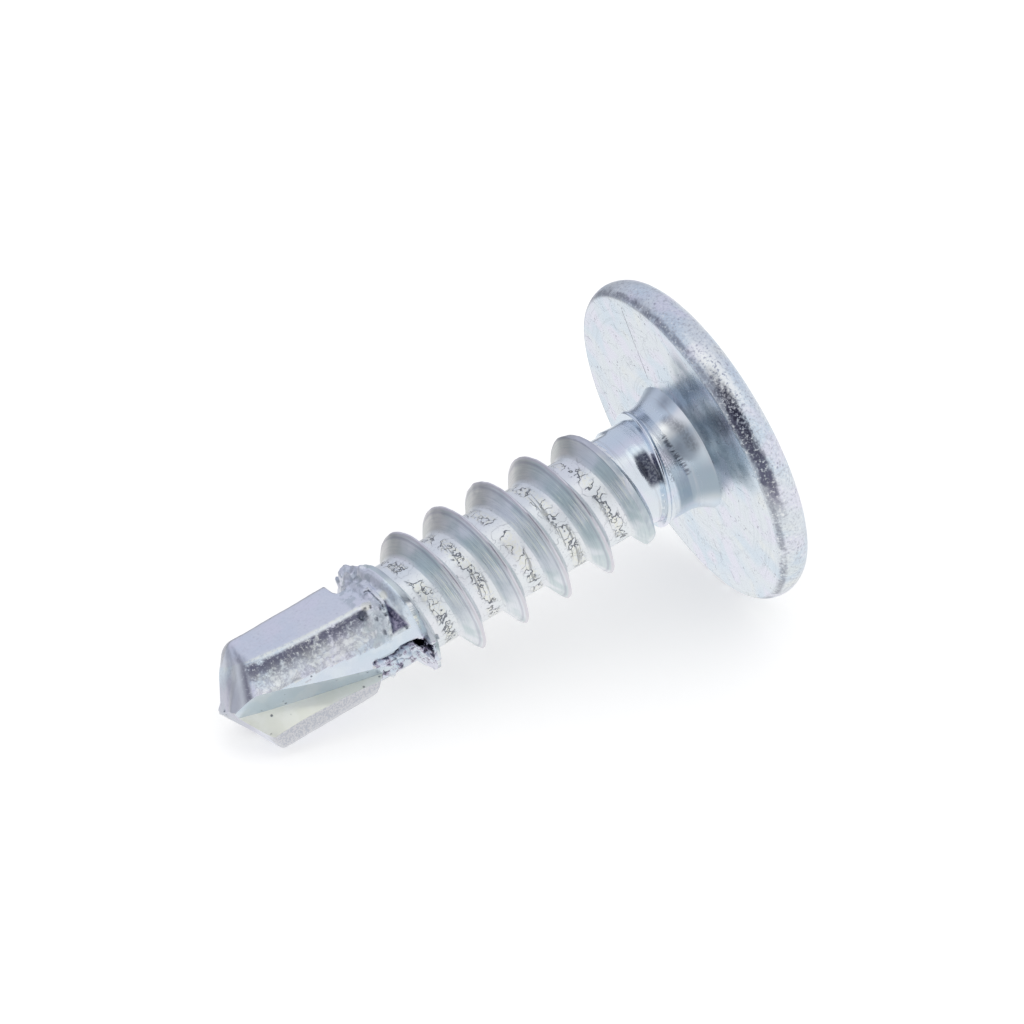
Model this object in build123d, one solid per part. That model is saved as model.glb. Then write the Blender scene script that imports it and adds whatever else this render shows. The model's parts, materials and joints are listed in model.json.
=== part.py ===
"""Wafer head self drilling screw, size 4.2 x 16, cold formed in one piece and zinc plated.

The screw is built on its own axis: the flat bearing face under the head is at Z 0, the drill
point is at +Z, the head is at -Z, and the broad flats of the drill face +X and -X. At the end
it is laid down as it comes to rest, on the rim of its head and on the broad flat that faces -X,
with its point towards -X and the floor at Z 0.
"""
from build123d import *
from math import asin, atan, atan2, cos, degrees, hypot, radians, sin, sqrt, tan
import os

# ---- driving dimensions, in millimetres and degrees ----
# A place is measured along the axis from the bearing face, and is positive towards the point.

# head
head_diameter = 10.22          # widest, at the middle of the rounded rim
head_height = 1.73             # bearing face to the crown of the low dome
rim_radius = 0.71              # rounding of the rim
rim_depth = 0.48               # from the bearing face to the widest line of the rim

# cross recess, number 2, in the crown of the head
recess_span = 4.40             # across two opposite wings, at the crown
recess_depth = 2.00
recess_wing_width = 1.25       # at the crown
recess_floor_width = 0.85      # of a wing, at the floor
recess_wing_slope = 26.5       # of the wing ends, from the axis
recess_core_diameter = 2.70    # where the wings meet, at the crown
recess_floor_diameter = 1.70   # of the core, at the floor
recess_cone_depth = 0.35       # of the cone in the floor
recess_turn = 20.0             # of the wings about the axis

# hollow flare under the head, the ridge that the dies left at its end, and the plain neck
collar_diameter = 3.94         # at the bearing face
collar_end_diameter = 3.34
collar_flare_length = 0.86
collar_length = 1.32           # to the middle of the die ridge
die_ridge_height = 0.085       # over the collar
die_ridge_width = 0.16
die_ridge_tilt = 9.7
neck_diameter = 3.02
neck_length = 1.75             # place where the thread begins

# rolled thread, single start, right-handed
thread_diameter = 4.20
thread_root_diameter = 2.88
thread_pitch = 1.48
thread_crest_width = 0.05
thread_tip_flank = 31.0        # flank angles, from a plane square to the axis
thread_head_flank = 23.0
thread_turn = -140.0           # direction in which the first crest below is met
thread_first_crest = 2.20      # place of that crest
thread_end = 10.85             # place where the last crest has run out
# height of the crest over the root where it isn't full: distance from the neck, then height
thread_run_in = [(0.05, 0.08), (0.45, 0.46), (1.19, 0.55), (1.75, 0.70)]
# and distance back from the thread's end, then height
thread_run_out = [(2.30, 0.70), (1.65, 0.54), (1.05, 0.53), (0.45, 0.47), (0.10, 0.30)]
undercut_depth = 0.05          # of the groove between the thread and the drill

# forged drill point
drill_diameter = 3.40
drill_start = 11.05            # place of the middle of the tilted shoulder
shoulder_tilt = 7.5
shoulder_chamfer = 0.34
point_length = 15.77           # bearing face to the chisel edge
broad_flat_distance = 1.43     # from the axis to each broad flat
side_flat_distance = 1.406     # from the axis to each side flat
side_flat_turn = -47.0         # from a broad flat to the side flat beside it
flats_start = 10.80            # place where the flats leave the root of the thread
heel_angle = 49.0              # of the two heel facets of the point, from the axis
heel_turn = -4.5               # from a broad flat to the heel facet under it
heel_rise = 0.26               # of the heel facets over the chisel edge, on the axis
lip_angle = 59.3               # of the two facets behind the cutting lips, from the axis
lip_turn = -144.0

# two V flutes, each with a rake wall that ends at the cutting lip and a steep back wall
flute_turn = -140.0            # turn of the axes in which one flute is set out
flute_end = 11.00              # place where the valley comes up to the root
valley_at_end = (1.21, 0.70)
valley_at_tip = (0.26, 0.40)
rake_angle_at_end = 47.0       # directions of the walls out of the valley
rake_angle_at_tip = 4.0
back_angle_at_end = 113.8
back_angle_at_tip = 118.2
wash_distance = 1.573          # from the axis to the start of the flat that washes out of the flute
wash_turn = 58.0
wash_slope = 4.2               # of the wash towards the axis, going to the point
wash_start = 9.90              # place where the wash starts

# ---- values worked out from them ----

head_radius = head_diameter / 2
root_radius = thread_root_diameter / 2
crest_radius = thread_diameter / 2
drill_radius = drill_diameter / 2
rim_centre = head_radius - rim_radius
undercut_radius = root_radius - undercut_depth
spare = 2.0                    # how far a cutting tool stands out of the metal


def turned(edges):
    """Solid of revolution about Z from a closed chain of edges in the XZ plane."""
    return revolve(make_face(Wire(edges).edges()), axis=Axis.Z)


def turned_corners(points):
    """Solid of revolution about Z from corners, each a radius and a place."""
    corners = [(radius, 0, place) for radius, place in points]
    return turned(Polyline(*corners, close=True).edges())


def both_sides(tool):
    """The tool and its copy half a turn about the axis."""
    return [tool, Rot(0, 0, 180) * tool]


def flat_cut(turn, distance, start, slope=0.0):
    """Block that cuts a flat facing turn, at a distance from the axis, from start to the tip."""
    size = 2 * head_radius
    length = point_length - start + spare
    block = Box(size, size, length, align=(Align.MIN, Align.CENTER, Align.MIN))
    return Rot(0, 0, turn) * Pos(distance, 0, start) * Rot(0, -slope, 0) * block


def point_cut(turn, angle, place):
    """Block that cuts the point on a plane which meets the axis at the angle and the place."""
    size = 2 * head_radius
    block = Box(size, size, size, align=(Align.CENTER, Align.CENTER, Align.MIN))
    return Rot(0, 0, turn) * Pos(0, 0, place) * Rot(0, 90 - angle, 0) * block


def make_head():
    """Flat bearing face, rim rounded in one arc, and a low dome that the rim runs into."""
    rise = head_height - rim_depth
    dome_radius = (rim_centre**2 + rise**2 - rim_radius**2) / (2 * (rise - rim_radius))
    dome_centre = dome_radius - head_height
    dome_edge = atan2(rim_centre, dome_centre + rim_depth)

    def on_dome(angle):
        return dome_radius * sin(angle), 0, dome_centre - dome_radius * cos(angle)

    bearing_edge = (rim_centre + sqrt(rim_radius**2 - rim_depth**2), 0, 0)
    crown = on_dome(0)
    return turned([
        Line((0, 0, 0), bearing_edge),
        ThreePointArc(bearing_edge, (head_radius, 0, -rim_depth), on_dome(dome_edge)),
        ThreePointArc(on_dome(dome_edge), on_dome(dome_edge / 2), crown),
        Line(crown, (0, 0, 0)),
    ])


def make_recess():
    """Cutting tool of the cross recess: two crossed wings and a core with a coned floor."""
    drop = tan(radians(recess_wing_slope))
    crown = -head_height
    floor = crown + recess_depth
    mouth = crown - 1.0
    narrowing = (recess_wing_width - recess_floor_width) / recess_depth
    core_narrowing = (recess_core_diameter - recess_floor_diameter) / 2 / recess_depth
    wing = loft([
        Pos(0, 0, mouth) * Rectangle(recess_span + 2 * drop, recess_wing_width + narrowing),
        Pos(0, 0, floor) * Rectangle(recess_span - 2 * drop * recess_depth,
                                     recess_floor_width),
    ])
    core = turned_corners([
        (0, mouth), (recess_core_diameter / 2 + core_narrowing, mouth),
        (recess_floor_diameter / 2, floor), (0, floor + recess_cone_depth),
    ])
    return Rot(0, 0, recess_turn) * (wing + Rot(0, 0, 90) * wing + core)


def make_collar():
    """Hollow flare under the head, cut off by the tilted dies, which left a thin ridge."""
    foot = collar_diameter / 2
    end = collar_end_diameter / 2
    buried = -rim_depth
    waist = (end + 0.32 * (foot - end), 0, 0.36 * collar_flare_length)
    flare = turned([
        Line((0, 0, buried), (foot, 0, buried)),
        Line((foot, 0, buried), (foot, 0, 0)),
        ThreePointArc((foot, 0, 0), waist, (end, 0, collar_flare_length)),
        Line((end, 0, collar_flare_length), (end, 0, 2 * collar_length)),
        Line((end, 0, 2 * collar_length), (0, 0, 2 * collar_length)),
        Line((0, 0, 2 * collar_length), (0, 0, buried)),
    ])
    dies = Pos(0, 0, collar_length) * Rot(0, -die_ridge_tilt, 0)
    beyond = Box(head_radius, head_radius, 2 * collar_length,
                 align=(Align.CENTER, Align.CENTER, Align.MIN))
    buried_edge = (end - die_ridge_height, die_ridge_width / 2)
    top_edge = (end + die_ridge_height, die_ridge_width / 6)
    ridge = turned_corners([
        (0, -buried_edge[1]), (buried_edge[0], -buried_edge[1]), (top_edge[0], -top_edge[1]),
        top_edge, buried_edge, (0, buried_edge[1]),
    ])
    return Rot(0, 0, flute_turn) * (flare - dies * beyond + dies * ridge)


def make_neck():
    """Plain neck between the collar and the thread, eased down to the root."""
    neck_radius = neck_diameter / 2
    ease = 2 * (neck_radius - root_radius)
    return turned_corners([
        (0, -rim_depth), (neck_radius, -rim_depth), (neck_radius, neck_length),
        (root_radius, neck_length + ease), (0, neck_length + ease),
    ])


def make_threaded_shank():
    """Root cylinder and helical ridge, trimmed to the form that the rolled crest fills."""
    buried = 0.8 * root_radius
    height = crest_radius - buried
    half_crest = thread_crest_width / 2
    tip_foot = half_crest + height * tan(radians(thread_tip_flank))
    head_foot = half_crest + height * tan(radians(thread_head_flank))
    start = thread_first_crest - thread_pitch
    length = thread_end + 0.15 - start
    profile = make_face(Polyline(
        (buried, 0, -head_foot), (crest_radius, 0, -half_crest),
        (crest_radius, 0, half_crest), (buried, 0, tip_foot), close=True))
    ridge = sweep(profile, path=Helix(thread_pitch, length, buried), is_frenet=True)
    root = Cylinder(root_radius, drill_start + 1.0,
                    align=(Align.CENTER, Align.CENTER, Align.MIN))
    return Rot(0, 0, thread_turn) * (root + Pos(0, 0, start) * ridge - make_thread_waste())


def make_thread_waste():
    """Ring of what the rolled crest doesn't fill: round its two low ends and past them."""
    outside = crest_radius + spare
    tip_end = point_length + spare
    run_in = [(root_radius + height, neck_length + along) for along, height in thread_run_in]
    run_out = [(root_radius + height, thread_end - back) for back, height in thread_run_out]
    return turned_corners(
        [(outside, -spare), (undercut_radius, -spare), (undercut_radius, neck_length - 0.1)]
        + run_in + run_out
        + [(undercut_radius, thread_end), (undercut_radius, tip_end), (outside, tip_end)])


def make_drill_blank():
    """Round blank of the drill, with a tilted and chamfered shoulder towards the thread."""
    length = point_length - drill_start + spare
    blank = Cylinder(drill_radius, 2 * length)
    size = 4 * drill_radius
    blank -= Rot(0, -shoulder_tilt, 0) * Box(size, size, 2 * length,
                                             align=(Align.CENTER, Align.CENTER, Align.MAX))
    blank = chamfer(blank.edges().sort_by(Axis.Z)[0], shoulder_chamfer)
    return Rot(0, 0, flute_turn) * Pos(0, 0, drill_start) * blank


def make_flute():
    """Cutting tool of one flute: a V groove with ruled walls, deepest at the point."""
    reach = 2 * drill_radius

    def section(valley, rake_angle, back_angle, place):
        corner = Vector(*valley, place)
        rake = Vector(cos(radians(rake_angle)), sin(radians(rake_angle)), 0) * reach
        back = Vector(cos(radians(back_angle)), sin(radians(back_angle)), 0) * reach
        return make_face(Polyline(corner, corner + rake, corner + back, close=True))

    at_end = section(valley_at_end, rake_angle_at_end, back_angle_at_end, flute_end)
    at_tip = section(valley_at_tip, rake_angle_at_tip, back_angle_at_tip, point_length)
    return Rot(0, 0, flute_turn) * loft([at_end, at_tip], ruled=True)


def make_screw():
    """The whole screw on its own axis, as one solid."""
    screw = make_threaded_shank() + make_neck() + make_collar() + make_head()
    screw += make_drill_blank()
    side_flat = flat_cut(side_flat_turn, side_flat_distance, flats_start)
    wash = flat_cut(flute_turn + wash_turn, wash_distance, wash_start, wash_slope)
    cuts = both_sides(flat_cut(0, broad_flat_distance, flats_start))
    cuts += both_sides(side_flat)
    cuts += both_sides(point_cut(heel_turn, heel_angle, point_length + heel_rise))
    cuts += both_sides(point_cut(lip_turn, lip_angle, point_length))
    cuts += both_sides(make_flute())
    cuts += both_sides(wash)
    for cut in cuts:
        screw -= cut
    return screw - make_recess()


def lay_down(screw):
    """Tip the screw over until its rim and the end of its lower broad flat touch the floor."""
    heel_slope = tan(radians(90 - heel_angle))
    heel_point = point_length + heel_rise
    flat_end = heel_point - broad_flat_distance * heel_slope / cos(radians(heel_turn))
    to_rim = rim_centre - broad_flat_distance
    along = flat_end + rim_depth
    lie_angle = degrees(atan(to_rim / along) + asin(rim_radius / hypot(to_rim, along)))
    print("lie angle", round(lie_angle, 3))
    lying = Rot(0, -90 - lie_angle, 0) * screw
    box = lying.bounding_box()
    return Pos(-box.center().X, -box.center().Y, -box.min.Z) * lying


screw = make_screw()
print("solids", len(screw.solids()), "volume", round(screw.volume, 3), "valid", screw.is_valid)
lying = lay_down(screw)
print("box", lying.bounding_box())
os.makedirs("parts", exist_ok=True)
export_step(lying, "parts/self_drilling_screw.step")
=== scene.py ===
"""Looks of the wafer head self drilling screw: bright zinc over formed, rolled and forged steel.

The screw is shaped at the bench: upright on its own axis, one unit to a millimetre, with the
bearing face at Z 0, the point at +Z and the broad flats of the drill facing +X and -X. The finished
mesh is then laid down to where the frame has it.
"""
import json
from math import asin, atan2, cos, degrees, pi, radians, sin, tan

import bpy
import numpy as np
from mathutils import Matrix, Vector, noise


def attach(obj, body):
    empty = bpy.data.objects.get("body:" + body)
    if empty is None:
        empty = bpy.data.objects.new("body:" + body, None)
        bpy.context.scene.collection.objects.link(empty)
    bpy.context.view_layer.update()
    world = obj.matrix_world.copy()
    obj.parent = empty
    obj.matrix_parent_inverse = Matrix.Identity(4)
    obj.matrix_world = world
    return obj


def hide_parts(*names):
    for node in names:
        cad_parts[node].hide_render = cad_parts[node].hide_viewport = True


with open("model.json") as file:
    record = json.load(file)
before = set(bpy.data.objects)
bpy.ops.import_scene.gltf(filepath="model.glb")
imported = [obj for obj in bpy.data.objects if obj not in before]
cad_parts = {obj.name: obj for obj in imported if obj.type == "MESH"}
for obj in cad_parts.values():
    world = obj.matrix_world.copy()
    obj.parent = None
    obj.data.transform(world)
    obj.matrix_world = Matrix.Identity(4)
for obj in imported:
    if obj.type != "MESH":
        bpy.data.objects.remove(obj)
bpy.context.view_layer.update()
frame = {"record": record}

# ---- sizes of the screw, in millimetres and degrees, along the axis from the bearing face ----

HEAD_RADIUS = 5.11
HEAD_HEIGHT = 1.73
RIM_RADIUS = 0.71
RIM_DEPTH = 0.48

RECESS_SPAN = 4.40
RECESS_DEPTH = 2.00
RECESS_WING = 1.25
RECESS_FLOOR_WING = 0.85
RECESS_SLOPE = 26.5
RECESS_CORE = 2.70
RECESS_FLOOR_CORE = 1.70
RECESS_CONE = 0.35
RECESS_TURN = 20.0

COLLAR_RADIUS = 1.97
COLLAR_END_RADIUS = 1.67
COLLAR_FLARE = 0.86
COLLAR_LENGTH = 1.32
DIE_RIDGE = 0.085
DIE_RIDGE_WIDTH = 0.16
DIE_TILT = 9.7
NECK_RADIUS = 1.51
NECK_LENGTH = 1.75
SHANK_IN_HEAD = 0.3

CREST_RADIUS = 2.10
ROOT_RADIUS = 1.44
PITCH = 1.48
CREST_WIDTH = 0.05
TIP_FLANK = 31.0
HEAD_FLANK = 23.0
THREAD_TURN = -140.0
FIRST_CREST = 2.20
RUN_IN_TURN = 111.0
THREAD_END = 10.85
WHOLE_TURNS = 5
RUN_IN = [(0.05, 0.08), (0.45, 0.46), (1.19, 0.55), (1.75, 0.70)]
RUN_OUT = [(2.30, 0.70), (1.65, 0.54), (1.05, 0.53), (0.45, 0.47), (0.10, 0.30)]

DRILL_RADIUS = 1.70
DRILL_START = 11.05
SHOULDER_TILT = 7.5
SHOULDER_CHAMFER = 0.34
POINT_LENGTH = 15.77
CHISEL_CUT = 0.015                    # how much the very tip is flattened
BROAD_FLAT = 1.43
SIDE_FLAT_HINGE = (0.72, -1.25)       # across the axis, where the twisting side flat stays
SIDE_FLAT_TWIST = [(11.0, -47.0), (13.1, -43.0), (14.5, -35.0), (15.8, -31.0)]
FLATS_START = 10.80
HEEL_ANGLE = 49.0
HEEL_TURN = -4.5
HEEL_RISE = 0.26
LIP_ANGLE = 59.3
LIP_TURN = -144.0
FLUTE_TURN = -140.0
FLUTE_END = 11.00
VALLEY_AT_END = (1.21, 0.70)
VALLEY_AT_TIP = (0.26, 0.40)
RAKE_AT_END = 47.0
RAKE_AT_TIP = 4.0
BACK_AT_END = 113.8
BACK_AT_TIP = 118.2
WASH = 1.573
WASH_TURN = 58.0
WASH_SLOPE = 4.2
WASH_START = 9.90

FLUTE_BOW = 0.10
FLAT_RUN_OUT = 1.5                    # how steeply the flats rise out of the round blank

# how far the edges of the forged faces are rounded
SIDE_EDGE = 0.12
BROAD_EDGE = 0.16
WASH_EDGE = 0.03
HEEL_EDGE = 0.34
LIP_EDGES = {0: 0.10, 180: 0.40}      # by half turn: the second lip is the blunter one

# marks of the forging and rolling, with a painted highlight and a painted reflection among them:
# the turn round the axis in degrees and the place along it
CREVICE = [(-88.5, 11.46), (-90.4, 11.23), (-91.5, 10.89), (-87.4, 10.59), (-87.5, 10.35),
           (-88.1, 10.15), (-93.8, 9.98), (-96.1, 9.71), (-101.4, 9.49)]
SEAM = [(-8.5, 10.74), (-10.0, 10.63), (-21.5, 10.61), (-30.5, 10.57), (-38.0, 10.62)]
NOTCH = [(24.0, 11.16), (62.0, 11.08)]
POCKET = (-29.0, -63.0, 10.46, 0.27)    # from its tip to its wide end, place, half width there
PIT = (-31.5, 11.22)
BUMP = (-24.0, 10.97)
TORN_TURN = -109.0
TORN_STRETCH = (9.75, 11.50)
FILLED_ROOT = (-38.0, 66.0, 0.19)       # middle, how far it goes each way, and its height
CHIPPED_TURNS = (2.0, 100.0)
BENT_TURNS = (0.0, 80.0)
NICK = (8.0, -0.16)
CREVICE_DEPTH = (0.34, 0.18)            # at its head end and at its point end
NOTCH_DEPTH = 0.32
SEAM_DEPTH = 0.06
POCKET_DEPTH = 0.14
PIT_DEPTH = 0.10
BUMP_HEIGHT = 0.05
NICK_DEPTH = 0.06
LAST_CREST_BEND = 0.20
YELLOW_FLAKE = (-25.0, 10.34)
COLLAR_DASHES = [(-30.0, 0.82), (-46.0, 0.82), (-58.0, 0.75), (-73.0, 0.69)]
COLLAR_SMUDGE = [(-17.0, 0.45), (-32.0, 0.30), (-52.0, 0.27)]
COLLAR_SCRAPE = [(-36.0, 1.22), (-72.0, 1.20)]
# painted highlight on the collar
COLLAR_PAINTED_HIGHLIGHT = (-21.0, 0.72)
COLLAR_SCUFF = (-42.0, 0.48)
FACE_SCRATCH = ((4.30, 1.63), (1.97, 1.06))    # on the bearing face, across the axis
# middle of the darker painted reflection on the bearing face
FACE_REFLECTION_SPOT = (-48.0128, 0.0, 4.0361)           # turn, place and distance from the axis

TURNED_STEPS = 240             # round the head
THREAD_STEPS = 160             # round one turn of the thread
MM = 0.001


# ---- the frame: where the screw lies ----

def lay():
    """Matrix from the bench to the frame, as the bearing face's mount gives it."""
    mount = next(m for m in frame["record"]["mounts"] if m["name"] == "bearing_face")
    centre = Vector((mount["pos_m"][0], 0, mount["pos_m"][2]))
    along = Vector(mount["axis"]).normalized()
    across = Vector((0, 1, 0))
    up = across.cross(along)
    turn = Matrix((up, across, along)).transposed().to_4x4()
    return Matrix.Translation(centre) @ turn @ Matrix.Scale(MM, 4)


LAY = lay()


# ---- tools of the bench ----

def nothing_selected():
    if bpy.context.object and bpy.context.object.mode != "OBJECT":
        bpy.ops.object.mode_set(mode="OBJECT")
    bpy.ops.object.select_all(action="DESELECT")


def take(piece):
    nothing_selected()
    piece.select_set(True)
    bpy.context.view_layer.objects.active = piece


def edit(piece):
    take(piece)
    bpy.ops.object.mode_set(mode="EDIT")
    bpy.ops.mesh.select_all(action="SELECT")


def done():
    bpy.ops.object.mode_set(mode="OBJECT")
    return bpy.context.object


def face_outward(piece):
    edit(piece)
    bpy.ops.mesh.normals_make_consistent(inside=False)
    return done()


def join_up(piece):
    """Merges the points that lie on each other and turns the faces outward."""
    edit(piece)
    bpy.ops.mesh.remove_doubles(threshold=0.0005)
    bpy.ops.mesh.normals_make_consistent(inside=False)
    return done()


def named(name):
    piece = bpy.context.object
    piece.name = name
    piece.data.name = name
    return piece


def settle(piece):
    """Puts the object's own place, turn and size into its mesh."""
    take(piece)
    bpy.ops.object.transform_apply(location=True, rotation=True, scale=True)
    return piece


def apply(piece, kind, **settings):
    take(piece)
    modifier = piece.modifiers.new(kind.lower(), kind)
    for key, value in settings.items():
        setattr(modifier, key, value)
    bpy.ops.object.modifier_apply(modifier=modifier.name)
    return piece


def draw_profile(name, points):
    """One vertex of a plane, extruded from point to point in the XZ plane."""
    nothing_selected()
    bpy.ops.mesh.primitive_plane_add(size=1)
    piece = named(name)
    edit(piece)
    bpy.ops.mesh.merge(type="CENTER")
    radius, place = points[0]
    bpy.ops.transform.translate(value=(radius, 0, place))
    for near, far in zip(points, points[1:]):
        step = (far[0] - near[0], 0, far[1] - near[1])
        bpy.ops.mesh.extrude_region_move(TRANSFORM_OT_translate={"value": step})
    done()
    return piece


def lathe(name, points, steps):
    """Profile spun once about Z, with the ends on the axis merged into poles."""
    piece = draw_profile(name, points)
    edit(piece)
    bpy.ops.mesh.spin(steps=steps, angle=2 * pi, center=(0, 0, 0), axis=(0, 0, 1))
    return join_up(done())


def cut_off(piece, place, direction, threshold=0.00005):
    """Cuts the piece with a plane and throws away what lies past it."""
    edit(piece)
    bpy.ops.mesh.bisect(plane_co=place, plane_no=direction, use_fill=True, clear_outer=True,
                        threshold=threshold)
    return done()


def combine(piece, tool, operation):
    apply(piece, "BOOLEAN", operation=operation, object=tool, solver="MANIFOLD")
    bpy.data.objects.remove(tool)
    return piece


def arc(centre, radius, start, end, count):
    """Points on an arc in the profile's plane, angles in degrees from outward to the point."""
    return [(centre[0] + radius * cos(radians(start + (end - start) * i / count)),
             centre[1] + radius * sin(radians(start + (end - start) * i / count)))
            for i in range(count + 1)]


def ramp(places, heights, z):
    return np.interp(z, places, heights)


def rise(z, start, length):
    """0 before the start and 1 past the length. With a negative length it runs the other way."""
    return np.clip((z - start) / length, 0, 1)


def smooth_max(a, b, softness):
    h = np.clip(0.5 + 0.5 * (a - b) / softness, 0, 1)
    return b + (a - b) * h + softness * h * (1 - h)


def smooth_min(a, b, softness):
    return -smooth_max(-a, -b, softness)


def get_points(piece):
    flat = np.zeros(len(piece.data.vertices) * 3)
    piece.data.vertices.foreach_get("co", flat)
    return flat.reshape(-1, 3)


def set_points(piece, points):
    piece.data.vertices.foreach_set("co", points.ravel())
    piece.data.update()


# ---- head ----

def flare_radius(z):
    """Hollow flare between the collar and the bearing face."""
    return COLLAR_END_RADIUS + (COLLAR_RADIUS - COLLAR_END_RADIUS) * (1 - z / COLLAR_FLARE) ** 2.1


def head_profile():
    """Axis, flare of the collar, bearing face, rim in one arc, low dome, and back to the axis."""
    rim_centre = HEAD_RADIUS - RIM_RADIUS
    rise = HEAD_HEIGHT - RIM_DEPTH
    dome = (rim_centre**2 + rise**2 - RIM_RADIUS**2) / (2 * (rise - RIM_RADIUS))
    dome_centre = dome - HEAD_HEIGHT
    dome_edge = atan2(rim_centre, dome_centre + RIM_DEPTH)
    bearing_edge = asin(RIM_DEPTH / RIM_RADIUS)
    face_end = rim_centre + RIM_RADIUS * cos(bearing_edge)
    flare = [(flare_radius(place) - 0.004, place)
             for place in COLLAR_FLARE * np.linspace(1, 0, 16)]
    face = [(radius, 0) for radius in np.linspace(COLLAR_RADIUS, face_end - 0.03, 20)]
    rim = arc((rim_centre, -RIM_DEPTH), RIM_RADIUS, degrees(bearing_edge) - 1.5,
              degrees(dome_edge) - 90, 34)
    crown = [(dome * sin(a), dome_centre - dome * cos(a))
             for a in np.linspace(dome_edge, 0, 22)[1:]]
    return [(0, COLLAR_FLARE)] + flare + face + rim + crown


def make_recess_tool():
    """Two crossed tapered wings and a coned core, rounded as the punch is."""
    mouth = 1.0
    drop = tan(radians(RECESS_SLOPE))
    narrowing = (RECESS_WING - RECESS_FLOOR_WING) / RECESS_DEPTH
    crown = -HEAD_HEIGHT
    tool = None
    for turn in (0, 90):
        nothing_selected()
        bpy.ops.mesh.primitive_cube_add(size=1)
        wing = named("recess_wing")
        points = get_points(wing)
        deep = points[:, 2] > 0
        length = RECESS_SPAN + 2 * drop * np.where(deep, -RECESS_DEPTH, mouth)
        width = np.where(deep, RECESS_FLOOR_WING, RECESS_WING + narrowing * mouth)
        points[:, 0] *= length
        points[:, 1] *= width
        points[:, 2] = np.where(deep, crown + RECESS_DEPTH, crown - mouth)
        angle = radians(RECESS_TURN + turn)
        x = points[:, 0] * cos(angle) - points[:, 1] * sin(angle)
        y = points[:, 0] * sin(angle) + points[:, 1] * cos(angle)
        points[:, 0], points[:, 1] = x, y
        set_points(wing, points)
        apply(wing, "BEVEL", width=0.10, segments=4, limit_method="ANGLE", angle_limit=radians(30))
        tool = combine(tool, wing, "UNION") if tool else wing
    slope = (RECESS_CORE - RECESS_FLOOR_CORE) / 2 / RECESS_DEPTH
    core = lathe("recess_core", [
        (0, crown - mouth), (RECESS_CORE / 2 + slope * mouth, crown - mouth),
        (RECESS_FLOOR_CORE / 2, crown + RECESS_DEPTH), (0, crown + RECESS_DEPTH + RECESS_CONE),
    ], 64)
    return combine(tool, core, "UNION")


def dent_rim(head):
    """Barely uneven rim, with a small nick in its upper edge."""
    points = get_points(head)
    radius = np.hypot(points[:, 0], points[:, 1])
    turn = np.degrees(np.arctan2(points[:, 1], points[:, 0]))
    outer = np.clip((radius - HEAD_RADIUS + RIM_RADIUS) / 0.3, 0, 1)
    away = np.hypot(np.radians(turn - NICK[0]) * HEAD_RADIUS / 1.6, points[:, 2] - NICK[1])
    nick = NICK_DEPTH * np.exp(-(away / 0.13) ** 2)
    depth = outer * (nick + 0.008 * (1 + lumps(points, 1.8, 5.0)))
    points[:, :2] *= (1 - depth / np.maximum(radius, 0.1))[:, None]
    set_points(head, points)


def make_head():
    head = lathe("head", head_profile(), TURNED_STEPS)
    dent_rim(head)
    return combine(head, make_recess_tool(), "DIFFERENCE")


# ---- shank: collar, neck and thread as one turned and rolled skin ----

def thread_profile():
    """One pitch of the rolled thread, from crest to crest, with a rounded crest and soft roots."""
    height = CREST_RADIUS - ROOT_RADIUS
    half = CREST_WIDTH / 2
    tip_foot = half + height * tan(radians(TIP_FLANK))
    head_foot = half + height * tan(radians(HEAD_FLANK))
    crest = [(CREST_RADIUS - 0.008, half), (CREST_RADIUS - 0.030, half + 0.012)]
    flank_rows = 9
    down = [(CREST_RADIUS - height * t, half + (tip_foot - half) * t)
            for t in np.linspace(0.09, 1, flank_rows)]
    root = [(ROOT_RADIUS, z) for z in np.linspace(tip_foot, PITCH - head_foot, 12)[1:-1]]
    up = [(ROOT_RADIUS + height * t, PITCH - head_foot + (head_foot - half) * t)
          for t in np.linspace(0, 0.91, flank_rows)]
    back = [(CREST_RADIUS - 0.030, PITCH - half - 0.012), (CREST_RADIUS - 0.008, PITCH - half)]
    return [(CREST_RADIUS, 0)] + crest + down + root + up + back + [(CREST_RADIUS, PITCH)]


def flat_reach(theta, turn, distance):
    """How far out a flat lets the metal reach. The directions are in radians."""
    facing = np.cos(theta - turn)
    return np.where(facing > 0.15, distance / np.maximum(facing, 0.15), 99.0)


def soft_cut(reach, limit, softness):
    """The metal cut back to a limit, with the edge rounded, and less so where the metal is thin."""
    thin = np.clip(np.minimum(reach, limit) / 0.9, 0.05, 1)
    return smooth_min(reach, limit, softness * thin)


def lumps(points, scale, seed):
    """Slow uneven relief between -1 and 1."""
    away = Vector((seed, 2 * seed, 3 * seed))
    return np.array([noise.noise(Vector(point) * scale + away) for point in points])


def distance_to(path, theta, z, radius):
    """Distance along the skin to a path of turns and places."""
    nearest = np.full_like(z, 99.0)
    for (turn_a, place_a), (turn_b, place_b) in zip(path, path[1:]):
        ax = (np.degrees(theta) - turn_a + 180) % 360 - 180
        ax, ay = np.radians(ax) * radius, z - place_a
        bx, by = radians(turn_b - turn_a) * radius, place_b - place_a
        share = np.clip((ax * bx + ay * by) / np.maximum(bx * bx + by * by, 1e-6), 0, 1)
        nearest = np.minimum(nearest, np.hypot(ax - share * bx, ay - share * by))
    return nearest


def collar_radius(theta, z):
    """Collar cut off on a tilt, the plain neck, and the root after it."""
    across = COLLAR_END_RADIUS * np.cos(theta - radians(FLUTE_TURN))
    past_die = np.clip((z - COLLAR_LENGTH - across * tan(radians(DIE_TILT))) / 0.06 + 0.5, 0, 1)
    neck = COLLAR_END_RADIUS + (NECK_RADIUS - COLLAR_END_RADIUS) * past_die
    eased = rise(z, NECK_LENGTH, 2 * (NECK_RADIUS - ROOT_RADIUS))
    return np.where(z < NECK_LENGTH, neck, NECK_RADIUS + (ROOT_RADIUS - NECK_RADIUS) * eased)


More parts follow.
